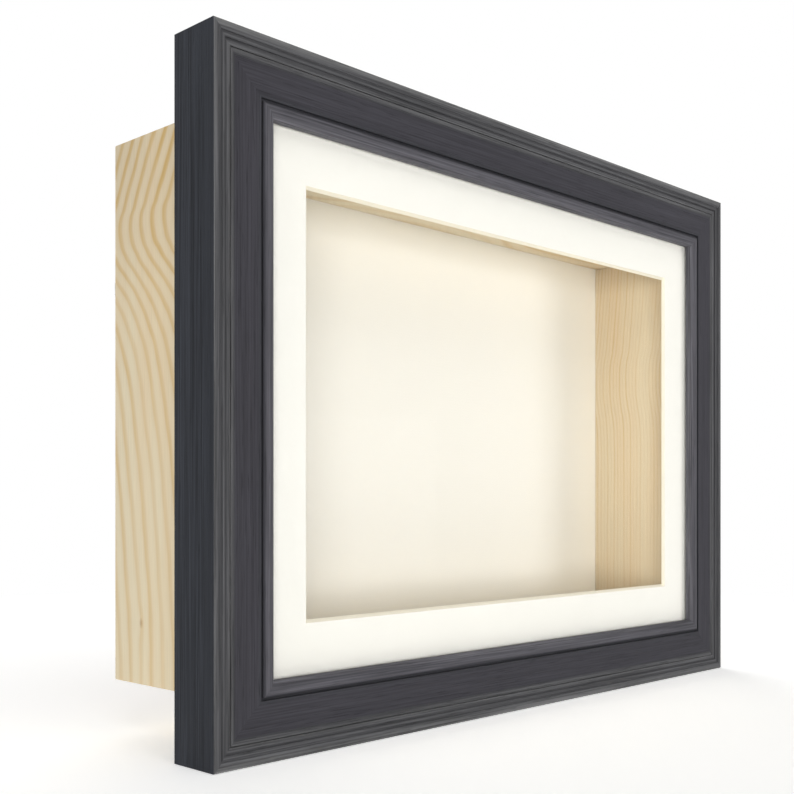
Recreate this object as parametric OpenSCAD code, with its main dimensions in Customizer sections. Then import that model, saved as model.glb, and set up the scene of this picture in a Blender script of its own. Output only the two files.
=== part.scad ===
// Deep shadow box frame. A mitred, stepped moulding holds glass and a window mount in front of
// a pine box. The box's back lifts out from behind once its turn buttons are swung clear.
// X runs to the viewer's right, Y from the front towards the wall, and Z up. The origin is the
// centre of the box's rear rim, in the plane that faces the wall. Sizes are in millimetres.

/* [Glass and window mount] */
// Width of the glass
glass_w = 356; // [300:1:600]
// Height of the glass
glass_h = 254; // [220:1:500]
// Thickness of the glass
glass_t = 2; // [1.5:0.1:4]
// Thickness of the window mount's board
mount_t = 1.4; // [1:0.1:3]
// Width of mount that shows between the moulding and the window
mount_border = 22; // [12:0.5:40]
// Gap round the glass, the mount and the box in the moulding's rebate
rebate_gap = 0.5; // [0.2:0.1:1]

/* [Moulding] */
// Width of the moulding's face
moulding_w = 33; // [31:0.5:60]
// Depth of the moulding from its front to its back
moulding_d = 27; // [22:0.5:40]
// Width of the rebate behind the sight edge
rebate_w = 10.5; // [7:0.5:12]
// Depth from the moulding's front to the seat of the glass
lip_d = 6; // [5.5:0.1:9]

/* [Moulding profile] */
// Width of the rounded outer lip
outer_lip_w = 3.9; // [2.8:0.1:6]
// Radius on both edges of the outer lip
outer_lip_r = 0.5; // [0.3:0.1:0.6]
// Width of the first step inside the lip
first_step_w = 2.3; // [1:0.1:4]
// Drop from the front to the first step
first_step_drop = 0.7; // [0.6:0.1:1]
// Width of the second step
second_step_w = 2.6; // [1:0.1:4]
// Drop from the front to the second step
second_step_drop = 1.3; // [0.9:0.1:1.5]
// Width of the quirk cut beside the second step
quirk_w = 0.7; // [0.5:0.1:1.5]
// Depth of the quirk below the front
quirk_drop = 2.4; // [2:0.1:4]
// Diameter of the half-round ridge at the edge of the field
ridge_d = 1.6; // [0.8:0.1:2]
// Drop from the front to the edges of the broad field
field_drop = 1.8; // [1.6:0.1:2.2]
// Width of the flat land on each side of the scoop in the field
field_land = 0.5; // [0.2:0.1:1]
// How far the field is scooped below its edges
field_scoop = 0.6; // [0.2:0.1:1.2]
// Width of the deep groove round the inner bead
groove_w = 1.3; // [0.8:0.1:2]
// Depth of the groove below the front
groove_drop = 3.5; // [3.4:0.1:4.5]
// Width of the inner bead that ends at the sight edge
bead_w = 6.3; // [5:0.1:7.5]
// Radius of the inner bead's crown
bead_r = 4.4; // [4.4:0.1:7]
// Drop from the front to the bead's crown
bead_drop = 1.3; // [0.6:0.1:1.3]
// Distance of the bead's crown from the groove
bead_crown = 2.6; // [2:0.1:3.2]

/* [Pine box] */
// Thickness of the boards
board_t = 16; // [14:0.5:20]
// Width of the boards from front to back
board_w = 100; // [90:1:140]
// Clear depth from the window mount to the back card
display_d = 61; // [40:1:62]
// Width of the ledge that the back sits on
ledge_w = 6; // [5:0.5:7]

/* [Back] */
// Thickness of the cream card that faces the display
card_t = 1.4; // [1:0.1:3]
// Thickness of the hardboard panel behind the card
panel_t = 3; // [2.5:0.1:6]
// Gap round the card and the panel in the box
panel_gap = 0.5; // [0.3:0.1:1]

/* [Turn buttons] */
// Thickness of a turn button
button_t = 1.2; // [0.8:0.1:2]
// Radius of a turn button round its rivet
button_r = 5.5; // [4.5:0.1:7]
// Radius of the nose that goes into the groove
nose_r = 2.2; // [1.5:0.1:3]
// Distance from the rivet to the nose's tip
nose_reach = 14; // [12.5:0.1:15]
// Distance from the rivet to the wall of the recess
button_inset = 11; // [10:0.1:12]
// Distance of the paired buttons from the middle of the long sides
button_x = 95; // [40:1:120]
// Distance from the rivet to the upturned thumb tab
tab_reach = 9; // [7:0.5:10]
// Width of the thumb tab
tab_w = 6; // [4:0.5:8]
// Height of the thumb tab above the panel side of the button
tab_h = 5; // [3:0.5:8]
// Play on each face of a turn button
button_play = 0.25; // [0.1:0.05:0.4]
// Depth of the groove that takes the noses
nose_groove_d = 4; // [3.6:0.1:5]
// Radius of a rivet's shank
rivet_r = 1.5; // [1:0.1:2]
// Radius of a rivet's heads
rivet_head_r = 3; // [2.6:0.1:4]
// Height of a rivet's domed head
rivet_head_h = 1.3; // [0.8:0.1:2]
// Thickness of the flange sunk in the front of the panel
rivet_flange_t = 0.8; // [0.5:0.1:1.5]
// Radial running clearance of a pivot in its hole
pivot_gap = 0.06; // [0.02:0.01:0.1]

/* [Hangers] */
// Height of the ring pivots above the middle of the box
hanger_z = 62; // [20:1:80]
// Width of a hanger strap
strap_w = 5; // [4.4:0.1:5.1]
// Length of a hanger strap below its ring
strap_l = 25; // [23:0.5:30]
// Thickness of the strap's sheet steel
strap_t = 0.8; // [0.6:0.1:1]
// Radius of the ring's wire
ring_wire_r = 0.8; // [0.7:0.05:0.9]
// Width of the ring between the centres of its legs
ring_w = 7; // [6.9:0.1:7.2]
// Length of the ring's straight legs
ring_leg = 5; // [4.5:0.1:6]
// Distance of the ring's pivot from the rear rim
ring_stand = 2; // [1.9:0.05:2.4]
// Distance from the ring's pivot to the first screw
strap_screw_z = 13; // [12.5:0.5:15]
// Distance between the two screws of a strap
strap_screw_pitch = 8; // [6:0.5:9]

/* [Fasteners] */
// Radius of the screws' shanks
screw_r = 1.2; // [0.8:0.1:1.5]
// Length of the screws under the head
screw_l = 14; // [8:0.5:20]
// Radius of the screws' heads
screw_head_r = 2.2; // [1.8:0.1:2.4]
// Height of the screws' domed heads
screw_head_h = 1.3; // [0.9:0.1:2]
// Width of the two slots that cross in a screw's head
cross_w = 0.6; // [0.4:0.1:0.8]
// Length of these slots
cross_l = 2.4; // [1.6:0.1:2.8]
// Depth of these slots
cross_d = 0.7; // [0.4:0.1:0.9]
// Radius of the pins' shanks
pin_r = 0.8; // [0.5:0.05:1]
// Radius of the pins' heads
pin_head_r = 1.4; // [1.1:0.1:2]
// Height of the pins' heads
pin_head_h = 0.8; // [0.5:0.1:1.2]
// Length of pin that bites into the side boards
corner_pin_bite = 16; // [8:0.5:24]
// Length of pin that bites into the moulding
frame_pin_bite = 10; // [5:0.5:14]
// Distance of the outer corner pins from each end of the joint
corner_pin_margin = 20; // [12:1:25]
// Distance of the paired frame pins from the middle of the long sides
frame_pin_x = 105; // [50:1:125]
// Distance of the paired frame pins from the middle of the short sides
frame_pin_z = 62; // [30:1:80]
// Length of a corner nail's legs
nail_leg = 5; // [3:0.5:6]
// Thickness of a corner nail
nail_t = 0.6; // [0.4:0.1:1]
// Height of a corner nail
nail_h = 10; // [6:0.5:12]
// Distance from the moulding's edge to the outer corner nail
nail_inset = 9; // [7:0.5:9]
// Distance between the two nails of a corner
nail_pitch = 8; // [7:0.5:9]
// Depth of the corner nails below the back of the moulding
nail_sink = 0.5; // [0:0.1:1]
// Gap round driven nails, pins and screws
drive_gap = 0.05; // [0.02:0.01:0.1]

/* [Hidden] */
$fn = 48;

// A cut runs this far past the faces that it opens
over = 1;

charcoal = [0.25, 0.26, 0.28];
pine = [0.85, 0.77, 0.62];
ivory = [0.98, 0.97, 0.93];
cream = [0.95, 0.93, 0.87];
hardboard = [0.45, 0.32, 0.22];
steel = [0.72, 0.73, 0.75];

// Rebate, sight edge and outside of the moulding
rebate_open_w = glass_w + 2 * rebate_gap;
rebate_open_h = glass_h + 2 * rebate_gap;
sight_w = rebate_open_w - 2 * rebate_w;
sight_h = rebate_open_h - 2 * rebate_w;
outer_w = sight_w + 2 * moulding_w;
outer_h = sight_h + 2 * moulding_w;

// Places along the moulding's face, from its outer edge
first_step_end = outer_lip_w + first_step_w;
second_step_end = first_step_end + second_step_w;
ridge_start = second_step_end + quirk_w;
field_start = ridge_start + ridge_d;
bead_start = moulding_w - bead_w;
field_end = bead_start - groove_w;
field_span = field_end - field_start - 2 * field_land;
field_r = (field_span * field_span / 4 + field_scoop * field_scoop) / (2 * field_scoop);

// Box inside the rebate, with the same outside as the glass
box_w = glass_w;
box_h = glass_h;
inner_w = box_w - 2 * board_t;
inner_h = box_h - 2 * board_t;
rim_t = board_t - ledge_w;
recess_w = box_w - 2 * rim_t;
recess_h = box_h - 2 * rim_t;

// Places from front to back, with the rear rim at 0
case_d = lip_d + glass_t + mount_t + board_w;
front_y = -case_d;
glass_y = front_y + lip_d;
mount_y = glass_y + glass_t;
box_y = mount_y + mount_t;
moulding_rear_y = front_y + moulding_d;
card_y = box_y + display_d;
panel_y = card_y + card_t;
panel_rear_y = panel_y + panel_t;
button_y = panel_rear_y + button_play;
nose_groove_w = button_t + 2 * button_play;
rivet_head_y = button_y + button_t + button_play;

// Window of the mount, at its front face
window_w = sight_w - 2 * mount_border;
window_h = sight_h - 2 * mount_border;

// Back card and panel
back_w = recess_w - 2 * panel_gap;
back_h = recess_h - 2 * panel_gap;

// Pins of the box corners, spread over the part of the joint that has no recess
corner_pin_count = 3;
corner_pin_x = box_w / 2 - rim_t - ledge_w / 2;
corner_pin_pitch = (display_d - 2 * corner_pin_margin) / (corner_pin_count - 1);
corner_pin_l = board_t + corner_pin_bite;

// Pins through the boards into the moulding, midway along the rebate that holds the boards
frame_pin_y = (box_y + moulding_rear_y) / 2;
frame_pin_l = board_t + rebate_gap + frame_pin_bite;

// Turn buttons: rivet's place, then the way the nose points when it is swung clear
button_edge_x = recess_w / 2 - button_inset;
button_edge_z = recess_h / 2 - button_inset;
TOP_LEFT = [-button_x, button_edge_z, 0];
TOP_RIGHT = [button_x, button_edge_z, 180];
BOTTOM_LEFT = [-button_x, -button_edge_z, 0];
BOTTOM_RIGHT = [button_x, -button_edge_z, 180];
LEFT = [-button_edge_x, 0, -90];
RIGHT = [button_edge_x, 0, -90];
BUTTONS = [TOP_LEFT, TOP_RIGHT, BOTTOM_LEFT, BOTTOM_RIGHT, LEFT, RIGHT];

// Hangers on the rear rim of the side boards, the rings flush with the wall of the recess
hanger_x = recess_w / 2 + ring_w / 2 + ring_wire_r;
knuckle_bore_r = ring_wire_r + pivot_gap;
knuckle_r = knuckle_bore_r + strap_t;

// Turns a shape drawn on the bottom side to the top, left or right side
module to_top() rotate([0, 180, 0]) children();
module to_left() rotate([0, 90, 0]) children();
module to_right() rotate([0, -90, 0]) children();

// Low dome on a flat base, standing along +Z
module dome(r, h) {
    sphere_r = (r * r + h * h) / (2 * h);
    intersection() {
        translate([0, 0, h - sphere_r])
            sphere(sphere_r);
        cylinder(h = h, r = r);
    }
}

// Flat block of the profile, from a drop below the front to the back
module profile_block(width, drop) {
    translate([0, drop])
        square([width, moulding_d - drop]);
}

// Outer lip with both of its edges rounded
module profile_lip() {
    profile_block(outer_lip_w, outer_lip_r);
    translate([outer_lip_r, 0])
        square([outer_lip_w - 2 * outer_lip_r, 2 * outer_lip_r]);
    for (x = [outer_lip_r, outer_lip_w - outer_lip_r])
        translate([x, outer_lip_r])
            circle(outer_lip_r);
}

// Inner bead, a crown cut off at the groove and at the sight edge
module profile_bead() {
    intersection() {
        translate([bead_start + bead_crown, bead_drop + bead_r])
            circle(bead_r);
        translate([bead_start, 0])
            square([bead_w, lip_d]);
    }
}

// Section of the moulding: x from the outer edge inwards, y from the front backwards
module moulding_profile() {
    difference() {
        union() {
            profile_block(moulding_w, groove_drop);
            profile_block(field_end, field_drop);
            profile_block(second_step_end, second_step_drop);
            profile_block(first_step_end, first_step_drop);
            profile_lip();
            translate([ridge_start + ridge_d / 2, field_drop])
                circle(d = ridge_d);
            profile_bead();
        }
        translate([second_step_end, -over])
            square([quirk_w, quirk_drop + over]);
        translate([(field_start + field_end) / 2, field_drop + field_scoop - field_r])
            circle(field_r);
        translate([moulding_w - rebate_w, lip_d])
            square([rebate_w + over, moulding_d]);
    }
}

// Mitred rail on the bottom side, with its outer edge at z = -reach
module rail(length, reach) {
    translate([0, front_y, -reach])
        intersection() {
            rotate([0, -90, 0])
                linear_extrude(height = length, center = true)
                    moulding_profile();
            translate([0, moulding_d + over, 0])
                rotate([90, 0, 0])
                    linear_extrude(height = moulding_d + 2 * over)
                        polygon([
                            [-length / 2, 0],
                            [length / 2, 0],
                            [length / 2 - moulding_w, moulding_w],
                            [moulding_w - length / 2, moulding_w]
                        ]);
        }
}

// Corner nail: two legs at a right angle, its heel on the mitre at the given inset from both edges
module corner_nail(gap) {
    half = nail_t / 2 + gap;
    reach = nail_leg + gap;
    linear_extrude(height = nail_h + gap) {
        translate([-reach, -half])
            square([reach + half, 2 * half]);
        translate([-half, -reach])
            square([2 * half, reach + half]);
    }
}

// Nails of all four corners, driven in from the back of the moulding
module corner_nail_set(gap) {
    for (side_x = [0, 1], side_z = [0, 1])
        mirror([side_x, 0, 0])
            mirror([0, 0, side_z])
                for (inset = [nail_inset, nail_inset + nail_pitch])
                    translate([outer_w / 2 - inset, moulding_rear_y - nail_sink, outer_h / 2 - inset])
                        rotate([90, 0, 0])
                            corner_nail(gap);
}

// Openings above the sunk nails, so that they can be driven in from the back
module corner_nail_slots() {
    corner_nail_set(drive_gap);
    translate([0, nail_sink + over, 0])
        corner_nail_set(drive_gap);
}

// Headed pin along -Z, with the top of its head at z = 0
module pin(length, gap) {
    translate([0, 0, -length - gap])
        cylinder(h = length + gap, r = pin_r + gap);
    translate([0, 0, -pin_head_h - gap])
        cylinder(h = pin_head_h + gap, r = pin_head_r + gap);
}

// Pins from inside the box, through the boards and into the moulding
module frame_pin_set(gap) {
    for (x = [-frame_pin_x, 0, frame_pin_x])
        translate([x, frame_pin_y, -inner_h / 2])
            pin(frame_pin_l, gap);
    to_top()
        for (x = [-frame_pin_x, 0, frame_pin_x])
            translate([x, frame_pin_y, -inner_h / 2])
                pin(frame_pin_l, gap);
    to_left()
        for (x = [-frame_pin_z, frame_pin_z])
            translate([x, frame_pin_y, -inner_w / 2])
                pin(frame_pin_l, gap);
    to_right()
        for (x = [-frame_pin_z, frame_pin_z])
            translate([x, frame_pin_y, -inner_w / 2])
                pin(frame_pin_l, gap);
}

// Pins down through the ends of the top board, and the same below
module corner_pin_set(gap) {
    for (side_z = [0, 1])
        mirror([0, 0, side_z])
            for (x = [-corner_pin_x, corner_pin_x], i = [0 : corner_pin_count - 1])
                translate([x, box_y + corner_pin_margin + i * corner_pin_pitch, box_h / 2])
                    pin(corner_pin_l, gap);
}

// Rail with the slots and holes of its nails and pins
module drilled_rail() {
    difference() {
        children();
        corner_nail_slots();
        frame_pin_set(drive_gap);
    }
}

module moulding_bottom() {
    color(charcoal)
        drilled_rail()
            rail(outer_w, outer_h / 2);
}

module moulding_top() {
    color(charcoal)
        drilled_rail()
            to_top()
                rail(outer_w, outer_h / 2);
}

module moulding_left() {
    color(charcoal)
        drilled_rail()
            to_left()
                rail(outer_h, outer_w / 2);
}

module moulding_right() {
    color(charcoal)
        drilled_rail()
            to_right()
                rail(outer_h, outer_w / 2);
}

module corner_nails() {
    color(steel)
        corner_nail_set(0);
}

module glass() {
    color([0.8, 0.9, 0.9, 0.3])
        translate([-glass_w / 2, glass_y, -glass_h / 2])
            cube([glass_w, glass_t, glass_h]);
}

// Wedge with a bevel of 45 degrees on two sides, wide at the front: span across X, length along Z
module bevel_wedge(span, length) {
    linear_extrude(height = length, center = true)
        polygon([
            [-span / 2 - over, -over],
            [span / 2 + over, -over],
            [span / 2 - mount_t - over, mount_t + over],
            [mount_t + over - span / 2, mount_t + over]
        ]);
}

module window_mount() {
    color(ivory)
        translate([0, mount_y, 0])
            difference() {
                translate([-glass_w / 2, 0, -glass_h / 2])
                    cube([glass_w, mount_t, glass_h]);
                intersection() {
                    bevel_wedge(window_w, glass_h);
                    rotate([0, 90, 0])
                        bevel_wedge(window_h, glass_w);
                }
            }
}

// Groove for the noses, in the wall of the recess on the bottom side
module nose_groove(length, reach) {
    translate([-length / 2, panel_rear_y, -reach - nose_groove_d])
        cube([length, nose_groove_w, nose_groove_d + over]);
}

// Board across the bottom: its ends are let into the side boards and the back sits on its ledge
module cross_board() {
    difference() {
        translate([-recess_w / 2, box_y, -box_h / 2])
            cube([recess_w, board_w, board_t]);
        translate([-recess_w / 2 - over, card_y, -recess_h / 2])
            cube([recess_w + 2 * over, board_w, ledge_w + over]);
        nose_groove(recess_w + 2 * over, recess_h / 2);
        corner_pin_set(drive_gap);
        frame_pin_set(drive_gap);
    }
}

// Side board on the bottom side, to be turned upright: full height, cut back at both ends
module side_board() {
    difference() {
        translate([-box_h / 2, box_y, -box_w / 2])
            cube([box_h, board_w, board_t]);
        for (side = [0, 1])
            mirror([side, 0, 0])
                translate([inner_h / 2, box_y - over, -recess_w / 2])
                    cube([board_t + over, board_w + 2 * over, ledge_w + over]);
        translate([-box_h / 2 - over, card_y, -recess_w / 2])
            cube([box_h + 2 * over, board_w, ledge_w + over]);
        nose_groove(recess_h, recess_w / 2);
    }
}

module drilled_board() {
    difference() {
        children();
        corner_pin_set(drive_gap);
        frame_pin_set(drive_gap);
        hanger_screw_set(drive_gap);
    }
}

module box_bottom() {
    color(pine)
        cross_board();
}

module box_top() {
    color(pine)
        to_top()
            cross_board();
}

module box_left() {
    color(pine)
        drilled_board()
            to_left()
                side_board();
}

module box_right() {
    color(pine)
        drilled_board()
            to_right()
                side_board();
}

module box_corner_pins() {
    color(steel)
        corner_pin_set(0);
}

module frame_pins() {
    color(steel)
        frame_pin_set(0);
}

module back_card() {
    color(cream)
        translate([-back_w / 2, card_y, -back_h / 2])
            cube([back_w, card_t, back_h]);
}

// Stands a shape drawn along Z on the back of the panel, at a turn button's rivet
module at_button(place) {
    translate([place[0], 0, place[1]])
        rotate([-90, 0, 0])
            children();
}

module back_panel() {
    color(hardboard)
        difference() {
            translate([-back_w / 2, panel_y, -back_h / 2])
                cube([back_w, panel_t, back_h]);
            for (place = BUTTONS)
                at_button(place) {
                    translate([0, 0, panel_y - over])
                        cylinder(h = panel_t + 2 * over, r = rivet_r + drive_gap);
                    translate([0, 0, panel_y - over])
                        cylinder(h = rivet_flange_t + drive_gap + over, r = rivet_head_r + drive_gap);
                }
        }
}

module turn_button_rivets() {
    color(steel)
        for (place = BUTTONS)
            at_button(place) {
                translate([0, 0, panel_y])
                    cylinder(h = rivet_flange_t, r = rivet_head_r);
                translate([0, 0, panel_y])
                    cylinder(h = rivet_head_y - panel_y + rivet_head_h / 2, r = rivet_r);
                translate([0, 0, rivet_head_y])
                    dome(rivet_head_r, rivet_head_h);
            }
}

// Outline of a turn button, nose along +X: two circles joined by their common tangents
module button_outline() {
    nose_x = nose_reach - nose_r;
    lean = acos((button_r - nose_r) / nose_x);
    circle(button_r);
    translate([nose_x, 0])
        circle(nose_r);
    polygon([
        button_r * [cos(lean), sin(lean)],
        [nose_x, 0] + nose_r * [cos(lean), sin(lean)],
        [nose_x, 0] + nose_r * [cos(lean), -sin(lean)],
        button_r * [cos(lean), -sin(lean)]
    ]);
    translate([-tab_reach, -tab_w / 2])
        square([tab_reach, tab_w]);
}

// Turn button on the panel's back, swung clear with its nose along the edge of the panel
module turn_button(place) {
    color(steel)
        translate([place[0], button_y, place[1]])
            rotate([0, -place[2], 0])
                rotate([90, 0, 0])
                    mirror([0, 0, 1])
                        difference() {
                            union() {
                                linear_extrude(height = button_t)
                                    button_outline();
                                translate([-tab_reach, -tab_w / 2, 0])
                                    cube([button_t, tab_w, tab_h]);
                            }
                            translate([0, 0, -over])
                                cylinder(h = button_t + 2 * over, r = rivet_r + pivot_gap);
                        }
}

module turn_button_top_left() turn_button(TOP_LEFT);
module turn_button_top_right() turn_button(TOP_RIGHT);
module turn_button_bottom_left() turn_button(BOTTOM_LEFT);
module turn_button_bottom_right() turn_button(BOTTOM_RIGHT);
module turn_button_left() turn_button(LEFT);
module turn_button_right() turn_button(RIGHT);

// Screw along -Y, with the underside of its head on the strap
module hanger_screw(gap) {
    rotate([90, 0, 0])
        translate([0, 0, -strap_t])
            cylinder(h = screw_l + gap, r = screw_r + gap);
    translate([0, strap_t, 0])
        rotate([-90, 0, 0])
            dome(screw_head_r, screw_head_h);
}

// Slots that cross in the top of a screw's head
module screw_cross() {
    translate([0, strap_t + screw_head_h + over - cross_d, 0]) {
        cube([cross_l, 2 * over, cross_w], center = true);
        cube([cross_w, 2 * over, cross_l], center = true);
    }
}

// Places something at each screw of both hangers
module at_hanger_screws() {
    for (x = [-hanger_x, hanger_x], i = [0, 1])
        translate([x, 0, hanger_z - strap_screw_z - i * strap_screw_pitch])
            children();
}

module hanger_screw_set(gap) {
    at_hanger_screws()
        hanger_screw(gap);
}

// Strap on the rear rim below its ring, rolled into a knuckle round the ring's bar
module hanger_strap(x) {
    color(steel)
        difference() {
            translate([x, 0, hanger_z]) {
                translate([-strap_w / 2, 0, strap_w / 2 - strap_l])
                    cube([strap_w, strap_t, strap_l - strap_w / 2]);
                translate([0, 0, strap_w / 2 - strap_l])
                    rotate([-90, 0, 0])
                        cylinder(h = strap_t, r = strap_w / 2);
                translate([-strap_w / 2, ring_stand, 0])
                    rotate([0, 90, 0])
                        cylinder(h = strap_w, r = knuckle_r);
                translate([-strap_w / 2, 0, -knuckle_r])
                    cube([strap_w, ring_stand, knuckle_r]);
            }
            translate([x - strap_w / 2 - over, ring_stand, hanger_z])
                rotate([0, 90, 0])
                    cylinder(h = strap_w + 2 * over, r = knuckle_bore_r);
            hanger_screw_set(drive_gap);
        }
}

module hanger_strap_left() hanger_strap(-hanger_x);
module hanger_strap_right() hanger_strap(hanger_x);

module hanger_screws() {
    color(steel)
        difference() {
            hanger_screw_set(0);
            at_hanger_screws()
                screw_cross();
        }
}

// D-ring, folded down behind its strap: a bar in the knuckle, two legs and a half-round
module hanger_ring(x) {
    color(steel)
        translate([x, ring_stand, hanger_z]) {
            rotate([0, 90, 0])
                cylinder(h = ring_w, r = ring_wire_r, center = true);
            for (side = [-1, 1])
                translate([side * ring_w / 2, 0, 0]) {
                    sphere(ring_wire_r);
                    translate([0, 0, -ring_leg])
                        cylinder(h = ring_leg, r = ring_wire_r);
                }
            translate([0, 0, -ring_leg])
                rotate([90, 0, 0])
                    rotate([0, 0, 180])
                        rotate_extrude(angle = 180)
                            translate([ring_w / 2, 0])
                                circle(ring_wire_r);
        }
}

module hanger_ring_left() hanger_ring(-hanger_x);
module hanger_ring_right() hanger_ring(hanger_x);

moulding_top();
moulding_bottom();
moulding_left();
moulding_right();
corner_nails();
glass();
window_mount();
box_top();
box_bottom();
box_left();
box_right();
box_corner_pins();
frame_pins();
back_card();
back_panel();
turn_button_rivets();
turn_button_top_left();
turn_button_top_right();
turn_button_bottom_left();
turn_button_bottom_right();
turn_button_left();
turn_button_right();
hanger_strap_left();
hanger_strap_right();
hanger_screws();
hanger_ring_left();
hanger_ring_right();
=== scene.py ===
import math
from typing import NamedTuple

import bpy
from bpy.props import FloatProperty, FloatVectorProperty, PointerProperty
from mathutils import Color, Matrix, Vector


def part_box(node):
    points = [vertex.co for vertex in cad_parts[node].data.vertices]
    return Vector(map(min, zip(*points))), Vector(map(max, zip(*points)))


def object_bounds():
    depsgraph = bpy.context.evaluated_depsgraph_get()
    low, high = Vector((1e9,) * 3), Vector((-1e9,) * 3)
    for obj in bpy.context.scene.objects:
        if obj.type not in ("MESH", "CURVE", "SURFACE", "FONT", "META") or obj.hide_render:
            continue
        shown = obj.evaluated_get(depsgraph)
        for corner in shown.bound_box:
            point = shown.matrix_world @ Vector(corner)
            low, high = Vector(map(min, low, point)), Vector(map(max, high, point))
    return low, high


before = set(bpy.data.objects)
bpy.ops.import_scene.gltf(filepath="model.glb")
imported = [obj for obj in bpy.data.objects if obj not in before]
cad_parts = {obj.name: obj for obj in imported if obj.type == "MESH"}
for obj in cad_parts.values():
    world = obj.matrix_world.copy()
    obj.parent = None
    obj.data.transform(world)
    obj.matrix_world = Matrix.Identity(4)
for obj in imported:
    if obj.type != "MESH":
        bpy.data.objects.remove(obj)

bl_info = {
    "name": "Shadow box frame",
    "version": (1, 0, 0),
    "blender": (4, 5, 0),
    "location": "3D View > Sidebar > Shadow box",
    "description": "Finishes, light and camera for a deep wall-hung shadow box frame",
    "category": "Object",
}

# Box of the model as it was packed
CAD_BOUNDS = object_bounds()

MM = 0.001

# Outside of the moulding, read from its rails
HALF_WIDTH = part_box("moulding_right")[1].x
HALF_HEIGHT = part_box("moulding_top")[1].z
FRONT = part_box("moulding_top")[0].y
FACE_WIDTH = HALF_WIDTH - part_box("moulding_right")[0].x

# Where the parts of the moulding's section end, from its outer edge inwards
LIP_END = 3.9 * MM
FIRST_STEP_END = 6.2 * MM
SECOND_STEP_END = 8.8 * MM
QUIRK_END = 9.5 * MM
RIDGE_END = 11.1 * MM
FIELD_END = 25.4 * MM
GROOVE_END = 26.7 * MM

# Depth from the front over which the dressed face gives way to the plain sides and back
FACE_DEPTH = 6 * MM
PLAIN_DEPTH = 7.2 * MM

# Half the length of the boards along their grain
SIDE_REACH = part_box("box_left")[1].z
CROSS_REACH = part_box("box_top")[1].x

# Rails with the direction of their grain
RAILS = {"moulding_top": "X", "moulding_bottom": "X", "moulding_left": "Z", "moulding_right": "Z"}

# Stamped hardware, and round hardware
BUTTONS = ("top_left", "top_right", "bottom_left", "bottom_right", "left", "right")
SIDES = ("left", "right")
STAMPED = ["turn_button_" + place for place in BUTTONS] + ["hanger_strap_" + side for side in SIDES]
FASTENERS = ["turn_button_rivets", "hanger_screws", "corner_nails", "box_corner_pins", "frame_pins"]
ROUND = FASTENERS + ["hanger_ring_" + side for side in SIDES]

WHITE = (1, 1, 1)


# Settings

def seen(red, green, blue):
    """Linear colour of the 0 to 255 values that show on screen."""
    return tuple(Color((red / 255, green / 255, blue / 255)).from_srgb_to_scene_linear())


def seen_grey(value):
    """Linear level of a grey from 0 to 255 that shows on screen."""
    return seen(value, value, value)[0]


def colour(name, description, *values):
    """Colour property with its default given as it shows on screen."""
    return FloatVectorProperty(
        name=name, description=description, subtype="COLOR", size=3, min=0, max=1, default=seen(*values)
    )


def length(name, description, default):
    """Length property in metres."""
    return FloatProperty(
        name=name, description=description, unit="LENGTH", min=0, default=default, precision=5
    )


def share(name, description, default):
    """Property from 0 to 1."""
    return FloatProperty(
        name=name, description=description, subtype="FACTOR", min=0, max=1, default=default
    )


def level(name, description, default):
    """Level of a light, where 1 makes a white face white."""
    return FloatProperty(name=name, description=description, min=0, default=default)


class MouldingFinish(bpy.types.PropertyGroup):
    """Stain of the moulding, with light and shade painted into its colours across the section."""

    # Also laid in the narrow quirk as painted light, to lift the shade that falls there.
    lip: colour("Lip", "Rubbed outer edge of the side rails", 91, 91, 92)
    # Painted light: the top and bottom rails' lip is paler, as if lit from above.
    cross_lip_lit_from_above: colour("Top and bottom lip", "Rubbed outer edge of the top and bottom rails, painted paler as if lit from above", 99, 99, 99)
    step: colour("Steps", "Rubbed steps inside the lip and the ridge", 81, 81, 83)
    # Painted shade at the feet of the lip, the first step and the ridge.
    line: colour("Lines", "Painted shade at the feet of the steps", 66, 66, 68)
    field: colour("Field", "Broad field in the middle of the face", 58, 57, 62)
    # Painted shade in the groove round the bead.
    groove: colour("Groove", "Painted shade in the groove round the bead", 54, 54, 58)
    bead: colour("Bead", "Crown of the inner bead", 81, 80, 85)
    # Painted light from the mount on the bead's edge round the glass.
    sight_lit_by_mount: colour("Sight edge", "Painted light from the mount on the edge round the glass", 90, 89, 94)
    side: colour("Sides", "Outer sides and back", 46, 48, 53)
    roughness: share("Roughness", "Roughness of the satin stain", 0.6)
    pore_depth: length("Pore depth", "Depth of the open grain", 0.12 * MM)


class PineFinish(bpy.types.PropertyGroup):
    """Planed pine of the box."""

    pale: colour("Pale wood", "Wood between the rings", 222, 209, 180)
    ring: colour("Rings", "Dense wood of the rings", 203, 169, 106)
    blush: colour("Blush", "Warmer streaks along the grain", 222, 199, 163)
    knot: colour("Knot", "Pin knot in the left board", 150, 104, 58)
    roughness: share("Roughness", "Roughness of the planed wood", 0.62)
    arris: length("Eased edges", "Width of the eased edges of the boards", 0.6 * MM)


class PaperFinish(bpy.types.PropertyGroup):
    """Window mount and back card."""

    mount: colour("Mount", "Face of the window mount", 242, 240, 232)
    core: colour("Core", "Cut bevel of the window", 237, 230, 210)
    card: colour("Card", "Card behind the display", 252, 249, 239)
    thread: length("Thread", "Pitch of the card's woven surface", 1.7 * MM)
    roughness: share("Roughness", "Roughness of the paper", 0.9)


class GlassFinish(bpy.types.PropertyGroup):
    """Picture glass."""

    tint: colour("Tint", "Colour of the glass", 246, 252, 250)
    body: share("Body", "Share of light that the glass itself gives back", 0.02)
    roughness: share("Roughness", "Roughness of the polished glass", 0.03)


class PanelFinish(bpy.types.PropertyGroup):
    """Hardboard panel behind the card."""

    face: colour("Face", "Pressed face of the panel", 134, 99, 66)
    fibre: colour("Fibres", "Dark fibres in the face", 88, 60, 37)
    roughness: share("Roughness", "Roughness of the pressed face", 0.5)


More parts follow.
